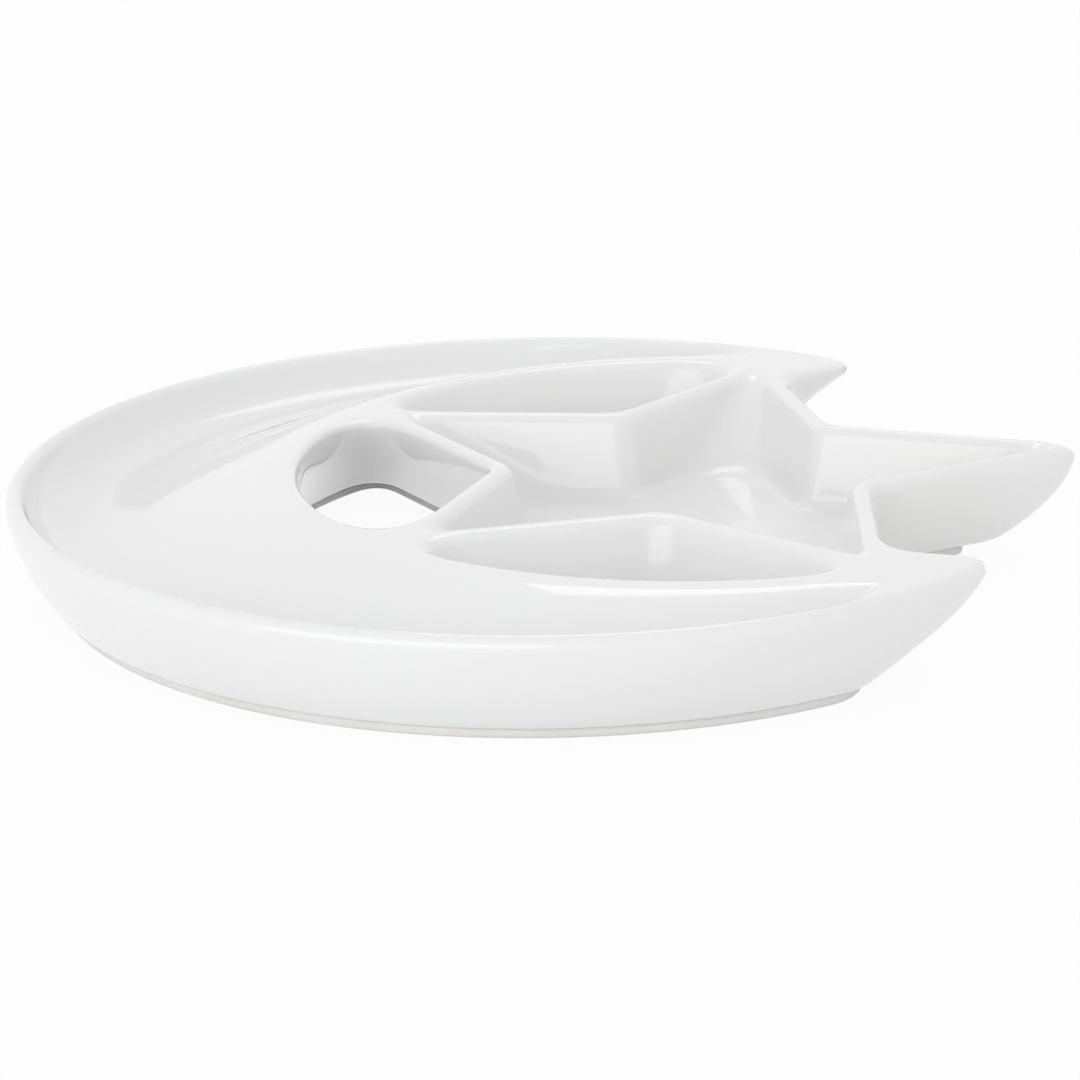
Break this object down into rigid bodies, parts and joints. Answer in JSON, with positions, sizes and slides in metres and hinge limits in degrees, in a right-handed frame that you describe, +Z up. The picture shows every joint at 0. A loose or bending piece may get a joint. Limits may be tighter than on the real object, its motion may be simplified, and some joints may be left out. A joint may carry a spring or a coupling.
{
  "type": "divided serving dish",
  "caption": "White glazed porcelain crescent serving tray with a five-pointed star bowl, two side wells and a hand hole.",
  "frame": {"origin": "on the table, below the centre of the round rim, within 2 mm of the middle of the dish's length and width", "axes": "+X from the closed side of the crescent to the free point of the star, +Z up, +Y across the dish to the rear well"},
  "size_m": [0.3079, 0.305, 0.0315],
  "materials": {
    "glaze": "clear gloss glaze over white porcelain",
    "bare_foot": "unglazed fired porcelain, wiped clean of glaze"
  },
  "bodies": {
    "root": {"crescent_tray": "glaze", "star_bowl": "glaze", "rear_side_well": "glaze", "front_side_well": "glaze", "outer_foot_ring": "bare_foot", "inner_foot_ring": "bare_foot"}
  },
  "joints": []
}
